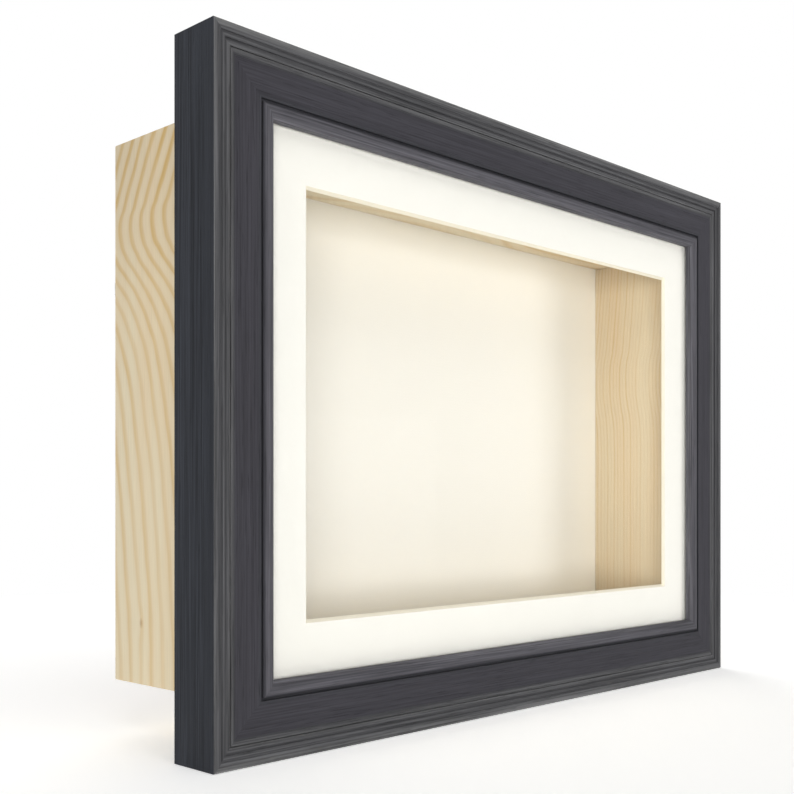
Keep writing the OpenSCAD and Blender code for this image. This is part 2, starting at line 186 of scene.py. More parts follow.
class HardwareFinish(bpy.types.PropertyGroup):
    """Zinc-plated steel."""

    zinc: colour("Zinc", "Plated steel", 206, 208, 210)
    bloom: colour("Bloom", "Dull patches in the plating", 176, 178, 179)
    roughness: share("Roughness", "Roughness of bright plating", 0.26)
    arris: length("Eased edges", "Width of the eased edges of stamped steel", 0.14 * MM)


class StageSettings(bpy.types.PropertyGroup):
    """Floor, light and camera."""

    floor: colour("Floor", "Colour of the floor", 246, 246, 245)
    lift: level("Floor lift", "Level that brightens the floor where the camera sees it", 0.42)
    ambient: level("Ambient", "Level of the light from all round", 0.23)
    key: level("Key", "Level of the lamp behind the camera", 0.4)
    fill: level("Fill", "Level of the lamp at the front right", 0.235)
    side: level("Side", "Level of the lamp on the left", 0.235)
    top: level("Top", "Level of the lamp high in front", 0.345)
    bounce: level("Bounce", "Level of the light that a white table throws up", 0.38)
    rear: level("Rear", "Level of the lamp behind the frame", 0.6)
    camera: FloatVectorProperty(
        name="Camera", description="Place of the camera", subtype="TRANSLATION",
        default=(-0.4736, -0.4779, -0.0408),
    )
    yaw: FloatProperty(
        name="Yaw", description="Turn of the level camera from the front", subtype="ANGLE",
        default=math.radians(45.57),
    )
    lens: FloatProperty(
        name="Lens", description="Focal length", subtype="DISTANCE_CAMERA", default=51.96
    )
    rise: FloatProperty(
        name="Rise", description="Upward shift that the photograph's framing has", default=0.1277
    )


class ShadowBoxSettings(bpy.types.PropertyGroup):
    """All settings of the shadow box frame."""

    moulding: PointerProperty(type=MouldingFinish)
    pine: PointerProperty(type=PineFinish)
    paper: PointerProperty(type=PaperFinish)
    glass: PointerProperty(type=GlassFinish)
    panel: PointerProperty(type=PanelFinish)
    hardware: PointerProperty(type=HardwareFinish)
    stage: PointerProperty(type=StageSettings)


# Shading nodes

def put(tree, socket, value):
    """Links an output into a socket, or sets the socket's own value."""
    if isinstance(value, bpy.types.NodeSocket):
        tree.links.new(value, socket)
    elif socket.type == "RGBA" and len(value) == 3:
        socket.default_value = (*value, 1)
    else:
        socket.default_value = value


def connect(tree, made, inputs):
    """Fills a node's inputs, each by its name or number."""
    for key, value in inputs.items():
        put(tree, made.inputs[key], value)


def node(tree, kind, inputs=None, **settings):
    """New node with its settings and inputs."""
    made = tree.nodes.new(kind)
    for key, value in settings.items():
        setattr(made, key, value)
    connect(tree, made, inputs or {})
    return made


def reckon(tree, operation, first, second=0.0):
    """Result of one step of arithmetic."""
    return node(tree, "ShaderNodeMath", {0: first, 1: second}, operation=operation).outputs[0]


def add(tree, first, second):
    """Sum of two values."""
    return reckon(tree, "ADD", first, second)


def subtract(tree, first, second):
    """First value less the second."""
    return reckon(tree, "SUBTRACT", first, second)


def times(tree, first, second):
    """Product of two values."""
    return reckon(tree, "MULTIPLY", first, second)


def off_middle(tree, value):
    """Distance from the middle, to either side."""
    return reckon(tree, "ABSOLUTE", value)


def slant(tree, first, second):
    """Length of the slant over two legs."""
    squares = add(tree, times(tree, first, first), times(tree, second, second))
    return reckon(tree, "SQRT", squares)


def spread(tree, value, was, becomes=(0.0, 1.0)):
    """Value moved from one range to another and kept within it."""
    limits = {
        "Value": value,
        "From Min": was[0],
        "From Max": was[1],
        "To Min": becomes[0],
        "To Max": becomes[1],
    }
    return node(tree, "ShaderNodeMapRange", limits).outputs[0]


def around(middle, stray):
    """Range from a little below to a little above a middle value."""
    return middle + stray[0], middle + stray[1]


def blend(tree, factor, first, second):
    """Two colours mixed by a factor."""
    inputs = {0: factor, 6: first, 7: second}
    return node(tree, "ShaderNodeMix", inputs, data_type="RGBA").outputs[2]


def ramp(tree, factor, stops, smooth="LINEAR"):
    """Colour along a line of (place, colour) stops."""
    made = node(tree, "ShaderNodeValToRGB", {0: factor})
    made.color_ramp.interpolation = smooth
    elements = made.color_ramp.elements
    middle = 0.5
    for _ in range(len(stops) - len(elements)):
        elements.new(middle)
    for element, (place, value) in zip(elements, stops):
        element.position = place
        element.color = (*value, 1)
    return made.outputs[0]


def sway_curve(tree, factor, points, reach):
    """Smooth curve through (share, share of reach) points, in metres."""
    made = node(tree, "ShaderNodeFloatCurve", {1: factor})
    knots = made.mapping.curves[0].points
    middle = 0.5
    for _ in range(len(points) - len(knots)):
        knots.new(middle, middle)
    for knot, (place, value) in zip(knots, points):
        knot.location = (place, value)
    made.mapping.update()
    return times(tree, made.outputs[0], reach)


def object_place(tree):
    """Place on the piece, in metres from the origin of the frame."""
    return node(tree, "ShaderNodeTexCoord").outputs["Object"]


def split(tree, vector):
    """The three parts of a vector."""
    return node(tree, "ShaderNodeSeparateXYZ", {0: vector}).outputs


def scaled(tree, vector, factor):
    """Colour made lighter or darker by a factor."""
    inputs = {0: vector, "Scale": factor}
    return node(tree, "ShaderNodeVectorMath", inputs, operation="SCALE").outputs[0]


class Relief(NamedTuple):
    """Depth of a surface's relief in metres, and how strongly it turns the surface."""

    depth: float
    strength: float


def raised(tree, height, relief):
    """Surface direction of a height from 0 to 1 in a relief."""
    inputs = {"Height": height, "Distance": relief.depth, "Strength": relief.strength}
    return node(tree, "ShaderNodeBump", inputs).outputs[0]


class Pattern(NamedTuple):
    """Cloudy pattern: its size along the grain and across it, its detail and its distortion."""

    long: float
    wide: float
    detail: float = 2.0
    distortion: float = 0.0


def even_pattern(size, detail, distortion=0.0):
    """Cloudy pattern with the same size all ways."""
    return Pattern(size, size, detail, distortion)


# Values that a cloudy pattern mostly keeps within, and a wider range for one that shifts a place
CLOUD_RANGE = (0.3, 0.7)
SHIFT_RANGE = (0.2, 0.8)


def cloud(tree, place, pattern, along="X"):
    """Cloudy pattern from 0 to 1 that lies along an axis."""
    scale = [1 / pattern.wide] * 3
    scale["XYZ".index(along)] = 1 / pattern.long
    stretched = node(tree, "ShaderNodeVectorMath", {0: place, 1: scale}, operation="MULTIPLY").outputs[0]
    inputs = {
        "Vector": stretched,
        "Scale": 1.0,
        "Detail": pattern.detail,
        "Distortion": pattern.distortion,
    }
    return node(tree, "ShaderNodeTexNoise", inputs).outputs[0]


def clouded(tree, pattern, becomes):
    """Cloudy pattern spread over a range of values."""
    return spread(tree, pattern, CLOUD_RANGE, becomes)


def shifted(tree, value, pattern, reach):
    """Value moved up or down by a cloudy pattern, as far as a reach."""
    return add(tree, value, spread(tree, pattern, SHIFT_RANGE, (-reach, reach)))


def ripple(tree, value, pitch):
    """Even ripple from 0 to 1 along a value."""
    wave = reckon(tree, "SINE", times(tree, value, 2 * math.pi / pitch))
    return spread(tree, wave, (-1, 1))


def new_finish(name, inputs):
    """Material with one shader, its tree and that shader."""
    material = bpy.data.materials.new(name)
    material.use_nodes = True
    tree = material.node_tree
    shader = tree.nodes["Principled BSDF"]
    connect(tree, shader, inputs)
    return material, tree, shader


def dress(name, material):
    """Gives a node of the frame its finish."""
    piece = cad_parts[name]
    piece.data.materials.clear()
    piece.data.materials.append(material)
    return piece


# Charcoal stain of the moulding

# Unit in which the stain's bands are laid off from the edges of the section
BAND = 0.25 * MM

STAIN_GLOSS = 0.07
STAIN_STREAKS = Pattern(160 * MM, 3.5 * MM, 3, 0.3)
STAIN_GRAIN = Pattern(60 * MM, 0.8 * MM, 3, 0.2)
STAIN_PORES = Pattern(14 * MM, 0.5 * MM, 1)

# How far streaks and grain change the light, and how far grain changes the roughness
STREAK_LIGHT = (-0.2, 0.2)
GRAIN_LIGHT = (-0.5, 0.5)
GRAIN_ROUGHNESS = (-0.08, 0.1)

# Streaks and grain show more where the painted tone is paler, and on the sides and back
STAIN_DARK = seen_grey(56)
STAIN_PALE = seen_grey(96)
MARKS_BY_TONE = (0.45, 1.0)
MARKS_BEHIND = 0.5

# Pattern values between which a pore opens, the light that an open pore keeps, and the relief of the grain
PORE_RANGE = (0.6, 0.7)
PORE_LIGHT = 0.74
GRAIN_HEIGHT = 0.5
STAIN_RELIEF = 0.5


def stain_and_light_bands(finish, along):
    """Colours across a rail's face, each with its distance from the outer edge, with painted light and
    shade among them.
    """
    # The lip fades from its crown to a darker foot: painted shade where its rounded edge turns down.
    crown, shoulder, shaded_foot = finish.lip, finish.step, finish.line
    # Painted light from above on the top and bottom rails: their lip runs from a paler crown to a paler
    # foot.
    if along == "X":
        crown, shoulder, shaded_foot = finish.cross_lip_lit_from_above, finish.lip, finish.step
    return (
        (0, finish.side),
        (BAND, crown),
        (7 * BAND, shoulder),
        (LIP_END - 3 * BAND, shaded_foot),
        # Painted shade: the line colour lies at the feet of the lip, the first step and the ridge.
        (LIP_END + 3 * BAND, finish.line),
        (LIP_END + 5 * BAND, finish.step),
        (FIRST_STEP_END - 3 * BAND, finish.step),
        (FIRST_STEP_END - BAND, finish.line),
        (FIRST_STEP_END + 3 * BAND, finish.line),
        (FIRST_STEP_END + 5 * BAND, finish.step),
        (SECOND_STEP_END - 2 * BAND, finish.step),
        # Painted light: the narrow quirk takes the pale lip colour, to lift the shade that falls in it.
        (SECOND_STEP_END, finish.lip),
        (QUIRK_END, finish.lip),
        (QUIRK_END + BAND, finish.step),
        (RIDGE_END - 2 * BAND, finish.step),
        (RIDGE_END, finish.line),
        (RIDGE_END + 4 * BAND, finish.field),
        # Painted shade: the field darkens into the groove round the bead.
        (FIELD_END - 9 * BAND, finish.field),
        (FIELD_END - BAND, finish.groove),
        (GROOVE_END + BAND, finish.groove),
        (GROOVE_END + 2 * BAND, finish.field),
        (GROOVE_END + 4 * BAND, finish.bead),
        # Painted light: the bead pales towards the sight edge, where light from the mount falls on it.
        (FACE_WIDTH - 8 * BAND, finish.bead),
        (FACE_WIDTH - 5 * BAND, finish.sight_lit_by_mount),
        (FACE_WIDTH, finish.sight_lit_by_mount),
    )


def charcoal_stain_and_painted_light(finish, along):
    """Open-grained stain of a rail, rubbed paler on its lips, with painted shade in the groove and at the
    feet of the steps, and painted light in the quirk, on the top and bottom rails' lip and towards the
    sight edge.
    """
    name = "charcoal_stain_and_painted_light_" + along.lower()
    material, tree, shader = new_finish(name, {"Specular IOR Level": STAIN_GLOSS})
    place = object_place(tree)
    x, y, z = split(tree, place)
    across, half = (x, HALF_WIDTH) if along == "Z" else (z, HALF_HEIGHT)
    inwards = spread(tree, off_middle(tree, across), (half, half - FACE_WIDTH))
    bands = [(reach / FACE_WIDTH, tuple(value)) for reach, value in stain_and_light_bands(finish, along)]
    behind = spread(tree, y, (FRONT + FACE_DEPTH, FRONT + PLAIN_DEPTH))
    tone = blend(tree, behind, ramp(tree, inwards, bands), tuple(finish.side))
    streaks = cloud(tree, place, STAIN_STREAKS, along)
    grain = cloud(tree, place, STAIN_GRAIN, along)
    pores = spread(tree, cloud(tree, place, STAIN_PORES, along), PORE_RANGE)
    strength = spread(tree, tone, (STAIN_DARK, STAIN_PALE), MARKS_BY_TONE)
    strength = add(tree, strength, times(tree, behind, MARKS_BEHIND))
    marks = add(tree, clouded(tree, streaks, STREAK_LIGHT), clouded(tree, grain, GRAIN_LIGHT))
    light = add(tree, times(tree, strength, marks), 1.0)
    light = times(tree, light, spread(tree, pores, (0, 1), (1, PORE_LIGHT)))
    height = subtract(tree, times(tree, grain, GRAIN_HEIGHT), pores)
    connect(tree, shader, {
        "Base Color": scaled(tree, tone, light),
        "Roughness": clouded(tree, grain, around(finish.roughness, GRAIN_ROUGHNESS)),
        "Normal": raised(tree, height, Relief(finish.pore_depth, STAIN_RELIEF)),
    })
    return material


# Planed pine of the box

class BoardCut(NamedTuple):
    """How a board was cut from the tree.

    along is the axis of its grain, pitch the space between its rings, and lean their slope through it.
    contrast is the strength of its rings, and even the share of it that the faintest ring keeps.
    sway gives the rings' course along the board, as (share of its length, share of reach).
    knot is the place of a pin knot, back and along the grain.
    ripe is how much darker the denser wood at its top or right end is.
    blush is how much more of its wood is warm.
    """

    along: str
    pitch: float
    lean: float
    contrast: float
    even: float
    reach: float
    sway: tuple
    knot: tuple = None
    ripe: float = 0.0
    blush: float = 0.0


CUTS = {
    "box_left": BoardCut(
        along="Z", pitch=8.8 * MM, lean=0.5, contrast=1.0, even=0.6, reach=66 * MM,
        sway=(
            (0, 0.945), (0.16, 0.905), (0.34, 0.82), (0.51, 0.69), (0.605, 0.59),
            (0.655, 0.5), (0.71, 0.355), (0.75, 0.21), (0.785, 0.09), (0.82, 0.02),
            (0.845, 0.01), (0.875, 0.06), (0.93, 0.17), (1, 0.31),
        ),
        knot=(-22.4 * MM, -98.5 * MM), ripe=0.1,
    ),
    "box_right": BoardCut(
        along="Z", pitch=2.5 * MM, lean=0.12, contrast=0.8, even=0.3, reach=8 * MM,
        sway=(
            (0, 0.44), (0.3, 0.43), (0.487, 0.425), (0.535, 0.35), (0.578, 0.14),
            (0.642, 0.01), (0.715, 0.29), (0.787, 0.5), (0.93, 0.86), (1, 0.98),
        ),
        blush=0.3,
    ),
    "box_top": BoardCut(
        along="X", pitch=11 * MM, lean=0.6, contrast=0.9, even=0.5, reach=40 * MM,
        sway=((0, 0.2), (0.2, 0.35), (0.45, 0.9), (0.6, 0.75), (0.8, 0.25), (1, 0.4)),
    ),
    "box_bottom": BoardCut(
        along="X", pitch=8 * MM, lean=-0.4, contrast=0.85, even=0.5, reach=30 * MM,
        sway=((0, 0.6), (0.25, 0.2), (0.5, 0.1), (0.7, 0.5), (0.85, 0.8), (1, 0.7)),
    ),
}

PINE_GLOSS = 0.3

# How rings wander: the length of a bend, then its width and its reach in pitches
WANDER_LENGTH = 50 * MM
WANDER_WIDTH = 3
WANDER_REACH = 0.2

# Strength of the dense wood across one ring, from its inner side to its outer side
RING_PROFILE = ((0, 0), (0.28, 0.06), (0.52, 0.8), (0.65, 1), (0.84, 0.2), (1, 0))

# Strength of the rings in faint and clear patches, and from the bottom or left end to the other
RING_PATCHES = Pattern(120 * MM, 14 * MM)
PATCH_STRENGTH = (0.65, 1)
END_STRENGTH = (0.62, 0.96)

# Where ripe wood starts and is full, in shares of half the board
RIPE_START = 0.45
RIPE_END = 0.95

# Darkening at which ripe wood's rings are strongest, and how strong they are there
FULLY_RIPE = 0.1
RIPE_STRENGTH = 1.4

# Pin knot: its width by its length, how far round it the rings bend and how much, and its dark heart
KNOT_SHAPE = 0.55
KNOT_REACH = 6 * MM
KNOT_BEND = 2 * MM
KNOT_EDGE = (0.3 * MM, 1.6 * MM)
KNOT_STRENGTH = 0.5

# Warmer streaks: the pattern values over which they set in, and the most that they colour the wood
BLUSH_STREAKS = Pattern(200 * MM, 18 * MM)
BLUSH_RANGE = (0.42, 0.68)
BLUSH_STRENGTH = 0.55

# Fibres and the relief that they share with the rings, which are smoother than the rest
FIBRES = Pattern(26 * MM, 0.5 * MM)
FIBRE_LIGHT = (0.955, 1.035)
FIBRE_HEIGHT = 0.6
RING_HEIGHT = 0.5
RING_POLISH = 0.12
PINE_RELIEF = Relief(0.06 * MM, 0.4)


class BoardPlace(NamedTuple):
    """Point on a board: its place in the frame, and how far back, along and through the board it lies.

    half is half the board's length along the grain.
    """

    point: bpy.types.NodeSocket
    back: bpy.types.NodeSocket
    run: bpy.types.NodeSocket
    through: bpy.types.NodeSocket
    half: float


def board_place(tree, cut):
    """Place of a point on a board."""
    point = object_place(tree)
    x, y, z = split(tree, point)
    if cut.along == "Z":
        return BoardPlace(point, y, z, x, SIDE_REACH)
    return BoardPlace(point, y, x, z, CROSS_REACH)


def knot_distance(tree, cut, at):
    """Distance from a pin knot that is longer along the grain than across it."""
    back, run = cut.knot
    return slant(tree, subtract(tree, at.back, back), times(tree, subtract(tree, at.run, run), KNOT_SHAPE))


def ring_number(tree, cut, at, knot):
    """How many rings out a point lies, with the part of the ring that it is in."""
    along_board = spread(tree, at.run, (-at.half, at.half))
    depth = add(tree, at.back, sway_curve(tree, along_board, cut.sway, cut.reach))
    wander = cloud(tree, at.point, Pattern(WANDER_LENGTH, WANDER_WIDTH * cut.pitch), cut.along)
    depth = shifted(tree, depth, wander, WANDER_REACH * cut.pitch)
    if cut.knot:
        depth = add(tree, depth, spread(tree, knot, (0, KNOT_REACH), (KNOT_BEND, 0)))
    depth = add(tree, depth, times(tree, off_middle(tree, at.through), cut.lean))
    return reckon(tree, "DIVIDE", depth, cut.pitch)


def ring_lines(tree, cut, at, rings, ripe):
    """Strength of the dense wood, with some rings and stretches fainter than others."""
    profile = [(place, (strength,) * 3) for place, strength in RING_PROFILE]
    line = ramp(tree, reckon(tree, "FRACT", rings), profile, "EASE")
    whole = reckon(tree, "FLOOR", rings)
    chance = node(tree, "ShaderNodeTexWhiteNoise", {"W": whole}, noise_dimensions="1D").outputs[0]
    line = times(tree, line, spread(tree, chance, (0, 1), (cut.even * cut.contrast, cut.contrast)))
    patches = cloud(tree, at.point, RING_PATCHES, cut.along)
    line = times(tree, line, clouded(tree, patches, PATCH_STRENGTH))
    line = times(tree, line, spread(tree, at.run, (-at.half, at.half), END_STRENGTH))
    return times(tree, line, spread(tree, ripe, (0, FULLY_RIPE), (1, RIPE_STRENGTH)))


def planed_pine(finish, name, cut):
    """Pine with rings that sway along the board, fine fibres and warmer streaks."""
    material, tree, shader = new_finish("pine_" + name, {"Specular IOR Level": PINE_GLOSS})
    at = board_place(tree, cut)
    knot = knot_distance(tree, cut, at) if cut.knot else None
    ripe = spread(tree, at.run, (RIPE_START * at.half, RIPE_END * at.half), (0, cut.ripe))
    line = ring_lines(tree, cut, at, ring_number(tree, cut, at, knot), ripe)
    streaks = cloud(tree, at.point, BLUSH_STREAKS, cut.along)
    warm = spread(tree, streaks, BLUSH_RANGE, (cut.blush, cut.blush + BLUSH_STRENGTH))
    wood = blend(tree, warm, tuple(finish.pale), tuple(finish.blush))
    wood = blend(tree, line, wood, tuple(finish.ring))
    if cut.knot:
        heart = spread(tree, knot, KNOT_EDGE, (KNOT_STRENGTH, 0))
        wood = blend(tree, heart, wood, tuple(finish.knot))
    fibres = cloud(tree, at.point, FIBRES, cut.along)
    light = subtract(tree, clouded(tree, fibres, FIBRE_LIGHT), ripe)
    height = add(tree, times(tree, fibres, FIBRE_HEIGHT), times(tree, line, RING_HEIGHT))
    connect(tree, shader, {
        "Base Color": scaled(tree, wood, light),
        "Roughness": spread(tree, line, (0, 1), (finish.roughness, finish.roughness - RING_POLISH)),
        "Normal": raised(tree, height, PINE_RELIEF),
    })
    return material


# Paper of the mount and the card

PAPER_GLOSS = 0.2

# How squarely a surface faces the front or the back where cut core gives way to face paper
PAPER_FACING = (0.8, 0.92)
PAPER_GRAIN = even_pattern(1.1 * MM, 4)
PAPER_LIGHT = (0.985, 1.0)
PAPER_RELIEF = Relief(0.04 * MM, 0.3)

# Threads of the card: how they drift, and how slubs and the weave change the light
THREAD_DRIFT = Pattern(30 * MM, 3 * MM)
THREAD_SLACK = 0.35 * MM
SLUBS = even_pattern(4 * MM, 3)
SLUB_STRENGTH = (0.2, 0.5)
WEAVE_LIGHT = (0.955, 1.0)
WEAVE_RELIEF = Relief(0.05 * MM, 0.35)


def paper_finish(name, finish):
    """Matt paper, without its colour."""
    return new_finish(name, {"Roughness": finish.roughness, "Specular IOR Level": PAPER_GLOSS})


def ivory_board(finish):
    """Smooth mount board: ivory face paper, and a cream core where the bevel cuts through it."""
    material, tree, shader = paper_finish("ivory_board", finish)
    facing = split(tree, node(tree, "ShaderNodeNewGeometry").outputs["Normal"])[1]
    flat = spread(tree, off_middle(tree, facing), PAPER_FACING)
    paper = blend(tree, flat, tuple(finish.core), tuple(finish.mount))
    grain = cloud(tree, object_place(tree), PAPER_GRAIN)
    connect(tree, shader, {
        "Base Color": scaled(tree, paper, clouded(tree, grain, PAPER_LIGHT)),
        "Normal": raised(tree, grain, PAPER_RELIEF),
    })
    return material


def threads(tree, place, across, along, pitch):
    """Ripple of threads that lie along one axis and drift across it."""
    drift = cloud(tree, place, THREAD_DRIFT, along)
    return ripple(tree, shifted(tree, across, drift, THREAD_SLACK), pitch)


def linen_card(finish):
    """Cream card with a faint woven surface."""
    material, tree, shader = paper_finish("linen_card", finish)
    place = object_place(tree)
    x, _, z = split(tree, place)
    warp = threads(tree, place, x, "Z", finish.thread)
    weft = threads(tree, place, z, "X", finish.thread)
    slubs = clouded(tree, cloud(tree, place, SLUBS), SLUB_STRENGTH)
    weave = times(tree, add(tree, warp, weft), slubs)
    light = spread(tree, weave, (0, 1), WEAVE_LIGHT)
    connect(tree, shader, {
        "Base Color": scaled(tree, tuple(finish.card), light),
        "Normal": raised(tree, weave, WEAVE_RELIEF),
    })
    return material


# Glass, hardboard and zinc

def clear_glass(finish):
    """Picture glass that lets light straight through."""
    inputs = {"Base Color": tuple(finish.tint), "Roughness": finish.roughness, "Alpha": finish.body}
    material = new_finish("clear_glass", inputs)[0]
    material.surface_render_method = "BLENDED"
    return material


HARDBOARD_GLOSS = 0.35

# Felted fibres of the hardboard, with the light and roughness that they give
FELT = even_pattern(6 * MM, 5, 1.5)
FELT_LIGHT = (0.85, 1.12)
FELT_ROUGHNESS = (-0.08, 0.12)
FELT_RELIEF = Relief(0.08 * MM, 0.35)

# Dark fibres: the pattern values over which they set in, and the most that they colour the face
FLECKS = even_pattern(1.4 * MM, 3, 2.5)
FLECK_RANGE = (0.52, 0.72)
FLECK_STRENGTH = 0.8

# Broad clouds that the press leaves
PRESS_CLOUDS = even_pattern(60 * MM, 2)
PRESS_LIGHT = (0.92, 1.08)


def pressed_hardboard(finish):
    """Pressed wood fibre: a brown face with darker fibres lying all ways."""
    material, tree, shader = new_finish("pressed_hardboard", {"Specular IOR Level": HARDBOARD_GLOSS})
    place = object_place(tree)
    felt = cloud(tree, place, FELT)
    clouds = cloud(tree, place, PRESS_CLOUDS)
    flecks = spread(tree, cloud(tree, place, FLECKS), FLECK_RANGE, (0, FLECK_STRENGTH))
    face = blend(tree, flecks, tuple(finish.face), tuple(finish.fibre))
    light = times(tree, clouded(tree, felt, FELT_LIGHT), clouded(tree, clouds, PRESS_LIGHT))
    connect(tree, shader, {
        "Base Color": scaled(tree, face, light),
        "Roughness": clouded(tree, felt, around(finish.roughness, FELT_ROUGHNESS)),
        "Normal": raised(tree, felt, FELT_RELIEF),
    })
    return material


# Dull patches of the zinc: the pattern values over which they set in, and how much rougher they are
ZINC_BLOOM = even_pattern(3.5 * MM, 4)
BLOOM_RANGE = (0.4, 0.7)
BLOOM_ROUGHNESS = 0.2

# Marks that rolling leaves in the steel
ROLLING_MARKS = Pattern(9 * MM, 0.25 * MM)
ROLLING_RELIEF = Relief(0.02 * MM, 0.3)


def zinc_plate(finish):
    """Zinc-plated steel with dull patches and fine rolling marks."""
    material, tree, shader = new_finish("zinc_plate", {"Metallic": 1.0})
    place = object_place(tree)
    dull = spread(tree, cloud(tree, place, ZINC_BLOOM), BLOOM_RANGE)
    marks = cloud(tree, place, ROLLING_MARKS)
    connect(tree, shader, {
        "Base Color": blend(tree, dull, tuple(finish.zinc), tuple(finish.bloom)),
        "Roughness": spread(tree, dull, (0, 1), (finish.roughness, finish.roughness + BLOOM_ROUGHNESS)),
        "Normal": raised(tree, marks, ROLLING_RELIEF),
    })
    return material


# Eased edges

# Points closer than this are one point
SAME_POINT = 0.001 * MM

# Faces that turn by more than this meet in an edge to ease
SHARP_ANGLE = math.radians(40)

# Faces that turn by less than this are shaded as one surface
SMOOTH_ANGLE = math.radians(38)

# Facets across an eased edge
EASED_FACETS = 2

# Shortest edge of a board that is eased, in widths of the eased edge
SHORTEST_EASED = 10


def geometry_group(name):
    """Node group that changes a piece's geometry, and the geometry that comes into it."""
    tree = bpy.data.node_groups.new(name, "GeometryNodeTree")
    for way in ("INPUT", "OUTPUT"):
        tree.interface.new_socket("Geometry", in_out=way, socket_type="NodeSocketGeometry")
    return tree, node(tree, "NodeGroupInput").outputs[0]


def turn_at_edge(tree):
    """Angle by which the faces turn at an edge."""
    return node(tree, "GeometryNodeInputMeshEdgeAngle").outputs["Unsigned Angle"]


def sharp_edges(least_length):
    """Node group that joins a piece's faces, and marks its sharp edges over a length for easing."""
    tree, geometry = geometry_group("sharp_edges")
    merge = {"Geometry": geometry, "Distance": SAME_POINT}
    joined = node(tree, "GeometryNodeMergeByDistance", merge).outputs[0]
    drop = {"Geometry": joined, "Name": "custom_normal"}
    plain = node(tree, "GeometryNodeRemoveAttribute", drop).outputs[0]
    ends = node(tree, "GeometryNodeInputMeshEdgeVertices").outputs
    between = {0: ends["Position 1"], 1: ends["Position 2"]}
    span = node(tree, "ShaderNodeVectorMath", between, operation="DISTANCE").outputs["Value"]
    sharp = reckon(tree, "GREATER_THAN", turn_at_edge(tree), SHARP_ANGLE)
    chosen = times(tree, sharp, reckon(tree, "GREATER_THAN", span, least_length))
    mark = {"Geometry": plain, "Name": "bevel_weight_edge", "Value": chosen}
    marked = node(tree, "GeometryNodeStoreNamedAttribute", mark, data_type="FLOAT", domain="EDGE")
    node(tree, "NodeGroupOutput", {0: marked.outputs[0]})
    return tree


def creased_shading():
    """Node group that shades a piece smooth, with creases where its faces meet at a sharp angle."""
    tree, geometry = geometry_group("creased_shading")
    gentle = reckon(tree, "LESS_THAN", turn_at_edge(tree), SMOOTH_ANGLE)
    faces = node(tree, "GeometryNodeSetShadeSmooth", {"Geometry": geometry}, domain="FACE").outputs[0]
    crease = {"Geometry": faces, "Shade Smooth": gentle}
    creased = node(tree, "GeometryNodeSetShadeSmooth", crease, domain="EDGE").outputs[0]
    node(tree, "NodeGroupOutput", {0: creased})
    return tree


def join_faces(piece):
    """Joins a round piece's faces and shades it smooth between its creases."""
    piece.modifiers.new("sharp_edges", "NODES").node_group = sharp_edges(0.0)
    piece.modifiers.new("creased_shading", "NODES").node_group = creased_shading()


def ease_edges(piece, width, least_length=0.0):
    """Rounds a piece's sharp edges with modifiers, so that they catch the light."""
    piece.modifiers.new("sharp_edges", "NODES").node_group = sharp_edges(least_length)
    bevel = piece.modifiers.new("eased_edges", "BEVEL")
    bevel.limit_method = "WEIGHT"
    bevel.width = width
    bevel.segments = EASED_FACETS
    bevel.use_clamp_overlap = False
    piece.modifiers.new("creased_shading", "NODES").node_group = creased_shading()


# Stage

class LampPlace(NamedTuple):
    """Where a lamp stands round from the front and up, in degrees, and its distance, width and height."""

    azimuth: float
    elevation: float
    distance: float
    width: float
    height: float


# Lamps, each named for the setting that gives its level
LAMPS = {
    "key": LampPlace(-44, -3.5, 2.2, 0.9, 0.58),
    "fill": LampPlace(32, -3, 1.2, 0.5, 0.3),
    "side": LampPlace(-80, -3, 2.2, 0.8, 0.5),
    "top": LampPlace(-30, 50, 1.6, 1.2, 1.2),
    "bounce": LampPlace(-30, -50, 1.6, 1.2, 1.2),
    "rear": LampPlace(150, 22, 1.6, 1.2, 1.2),
}

# Share of the ambient level that comes from straight below and from straight above
AMBIENT_SHARES = (1.1, 0.9)

# Floor: half its size, its drop below the frame, and the distances over which it fades to white
FLOOR_HALF = 3.0
FLOOR_DROP = 0.2 * MM
FLOOR_FADE = (0.3, 0.75)

# Nearest distance that the camera shows
CAMERA_NEAR = 0.01


def lamp(name, place, strength):
    """Soft lamp aimed at the frame, so strong that a white face turned to it gains that level."""
    data = bpy.data.lights.new(name, "AREA")
    data.shape = "RECTANGLE"
    data.size = place.width
    data.size_y = place.height
    data.energy = strength * math.pi ** 2 * place.distance ** 2
    turn, rise = math.radians(place.azimuth), math.radians(place.elevation)
    aim = Vector((math.sin(turn) * math.cos(rise), -math.cos(turn) * math.cos(rise), math.sin(rise)))
    made = bpy.data.objects.new(name, data)
    made.location = (CAD_BOUNDS[0] + CAD_BOUNDS[1]) / 2 + aim * place.distance
    made.rotation_euler = aim.to_track_quat("Z", "Y").to_euler()
    bpy.context.scene.collection.objects.link(made)


def background_ray(tree):
    """1 for the rays that show the background itself: to the camera, in gloss and through glass."""
    path = node(tree, "ShaderNodeLightPath").outputs
    in_gloss = reckon(tree, "MAXIMUM", path["Is Camera Ray"], path["Is Glossy Ray"])
    return reckon(tree, "MAXIMUM", in_gloss, path["Is Transmission Ray"])


def mixed(tree, factor, first, second):
    """Two shaders mixed by a factor."""
    return node(tree, "ShaderNodeMixShader", {0: factor, 1: first, 2: second}).outputs[0]


def glow(tree, kind, strength):
    """White light that a surface or the world gives off."""
    return node(tree, kind, {"Color": WHITE, "Strength": strength}).outputs[0]


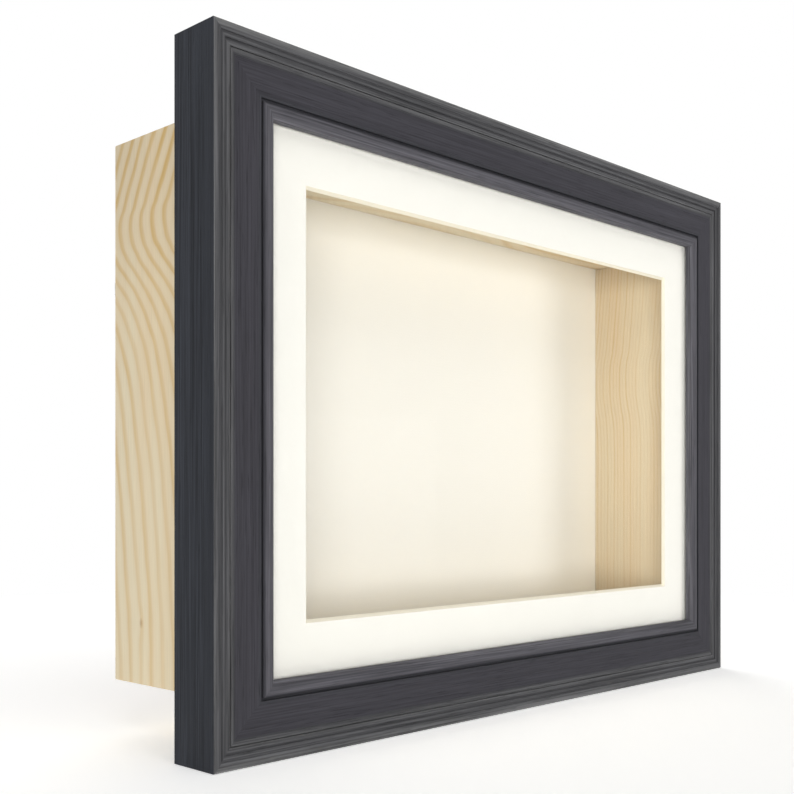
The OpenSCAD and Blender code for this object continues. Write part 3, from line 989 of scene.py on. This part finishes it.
def white_world(stage):
    """World that lights softly from all round and shows as white."""
    world = bpy.data.worlds.new("white_studio")
    world.use_nodes = True
    tree = world.node_tree
    tree.nodes.clear()
    up = split(tree, node(tree, "ShaderNodeTexCoord").outputs["Generated"])[2]
    strength = spread(tree, up, (-1, 1), [part * stage.ambient for part in AMBIENT_SHARES])
    soft = glow(tree, "ShaderNodeBackground", strength)
    white = glow(tree, "ShaderNodeBackground", 1.0)
    node(tree, "ShaderNodeOutputWorld", {"Surface": mixed(tree, background_ray(tree), soft, white)})
    bpy.context.scene.world = world


def pale_floor(stage):
    """Floor that keeps the frame's shadow and fades to white away from it."""
    low = CAD_BOUNDS[0].z - FLOOR_DROP
    corners = [(-1, -1), (1, -1), (1, 1), (-1, 1)]
    mesh = bpy.data.meshes.new("floor")
    mesh.from_pydata([(x * FLOOR_HALF, y * FLOOR_HALF, low) for x, y in corners], [], [(0, 1, 2, 3)])
    floor = bpy.data.objects.new("floor", mesh)
    bpy.context.scene.collection.objects.link(floor)
    floor.visible_shadow = False
    material, tree, shader = new_finish("pale_floor", {})
    tree.nodes.remove(shader)
    x, y, _ = split(tree, object_place(tree))
    fade = spread(tree, slant(tree, x, y), FLOOR_FADE)
    matt = node(tree, "ShaderNodeBsdfDiffuse", {"Color": tuple(stage.floor)}).outputs[0]
    lift = glow(tree, "ShaderNodeEmission", stage.lift)
    lit = node(tree, "ShaderNodeAddShader", {0: matt, 1: lift}).outputs[0]
    shown = mixed(tree, fade, lit, glow(tree, "ShaderNodeEmission", 1.0))
    surface = mixed(tree, background_ray(tree), matt, shown)
    connect(tree, tree.nodes["Material Output"], {"Surface": surface})
    mesh.materials.append(material)


def level_camera(stage):
    """Level camera at the photograph's angle."""
    data = bpy.data.cameras.new("camera")
    data.lens = stage.lens
    data.shift_y = stage.rise
    data.clip_start = CAMERA_NEAR
    made = bpy.data.objects.new("camera", data)
    made.location = stage.camera
    made.rotation_euler = (math.pi / 2, 0, -stage.yaw)
    bpy.context.scene.collection.objects.link(made)
    bpy.context.scene.camera = made


# Operators

class SHADOWBOX_OT_stage(bpy.types.Operator):
    """Make the floor, the light and the camera"""

    bl_idname = "shadow_box.stage"
    bl_label = "Stage"

    def execute(self, context):
        stage = context.scene.shadow_box.stage
        context.scene.view_settings.view_transform = "Standard"
        white_world(stage)
        pale_floor(stage)
        for name, place in LAMPS.items():
            lamp(name, place, getattr(stage, name))
        level_camera(stage)
        return {"FINISHED"}


class SHADOWBOX_OT_moulding(bpy.types.Operator):
    """Stain the four rails of the moulding, each along its own grain, with painted light from above on the
    top and bottom rails
    """

    bl_idname = "shadow_box.moulding"
    bl_label = "Moulding"

    def execute(self, context):
        finish = context.scene.shadow_box.moulding
        stains_and_light = {along: charcoal_stain_and_painted_light(finish, along) for along in "XZ"}
        for name, along in RAILS.items():
            dress(name, stains_and_light[along])
        return {"FINISHED"}


class SHADOWBOX_OT_glass(bpy.types.Operator):
    """Make the glass clear"""

    bl_idname = "shadow_box.glass"
    bl_label = "Glass"

    def execute(self, context):
        dress("glass", clear_glass(context.scene.shadow_box.glass))
        return {"FINISHED"}


class SHADOWBOX_OT_mount(bpy.types.Operator):
    """Finish the window mount"""

    bl_idname = "shadow_box.mount"
    bl_label = "Window mount"

    def execute(self, context):
        dress("window_mount", ivory_board(context.scene.shadow_box.paper))
        return {"FINISHED"}


class SHADOWBOX_OT_box(bpy.types.Operator):
    """Finish the four pine boards, each as it was cut"""

    bl_idname = "shadow_box.box"
    bl_label = "Pine box"

    def execute(self, context):
        finish = context.scene.shadow_box.pine
        for name, cut in CUTS.items():
            board = dress(name, planed_pine(finish, name, cut))
            ease_edges(board, finish.arris, SHORTEST_EASED * finish.arris)
        return {"FINISHED"}


class SHADOWBOX_OT_back(bpy.types.Operator):
    """Finish the card and the hardboard panel of the lift-out back"""

    bl_idname = "shadow_box.back"
    bl_label = "Lift-out back"

    def execute(self, context):
        settings = context.scene.shadow_box
        dress("back_card", linen_card(settings.paper))
        dress("back_panel", pressed_hardboard(settings.panel))
        return {"FINISHED"}


class SHADOWBOX_OT_hardware(bpy.types.Operator):
    """Finish the turn buttons, hangers, screws, rivets, pins and nails"""

    bl_idname = "shadow_box.hardware"
    bl_label = "Hardware"

    def execute(self, context):
        finish = context.scene.shadow_box.hardware
        zinc = zinc_plate(finish)
        for name in STAMPED:
            ease_edges(dress(name, zinc), finish.arris)
        for name in ROUND:
            join_faces(dress(name, zinc))
        return {"FINISHED"}


class SHADOWBOX_PT_sidebar(bpy.types.Panel):
    """Settings and steps of the shadow box frame"""

    bl_idname = "SHADOWBOX_PT_sidebar"
    bl_label = "Shadow box frame"
    bl_space_type = "VIEW_3D"
    bl_region_type = "UI"
    bl_category = "Shadow box"

    def draw(self, context):
        settings = context.scene.shadow_box
        for step in STEPS:
            self.layout.operator(step.bl_idname)
        for group in ShadowBoxSettings.__annotations__:
            box = self.layout.box()
            box.label(text=group.title())
            part = getattr(settings, group)
            for key in part.__annotations__:
                box.prop(part, key)


GROUPS = (
    MouldingFinish,
    PineFinish,
    PaperFinish,
    GlassFinish,
    PanelFinish,
    HardwareFinish,
    StageSettings,
    ShadowBoxSettings,
)
STEPS = (
    SHADOWBOX_OT_stage,
    SHADOWBOX_OT_moulding,
    SHADOWBOX_OT_glass,
    SHADOWBOX_OT_mount,
    SHADOWBOX_OT_box,
    SHADOWBOX_OT_back,
    SHADOWBOX_OT_hardware,
)
CLASSES = GROUPS + STEPS + (SHADOWBOX_PT_sidebar,)


def register():
    for made in CLASSES:
        bpy.utils.register_class(made)
    bpy.types.Scene.shadow_box = PointerProperty(type=ShadowBoxSettings)


def unregister():
    del bpy.types.Scene.shadow_box
    for made in reversed(CLASSES):
        bpy.utils.unregister_class(made)


def main():
    register()
    bpy.ops.shadow_box.stage()
    bpy.ops.shadow_box.moulding()
    bpy.ops.shadow_box.glass()
    bpy.ops.shadow_box.mount()
    bpy.ops.shadow_box.box()
    bpy.ops.shadow_box.back()
    bpy.ops.shadow_box.hardware()


if __name__ == "__main__":
    main()
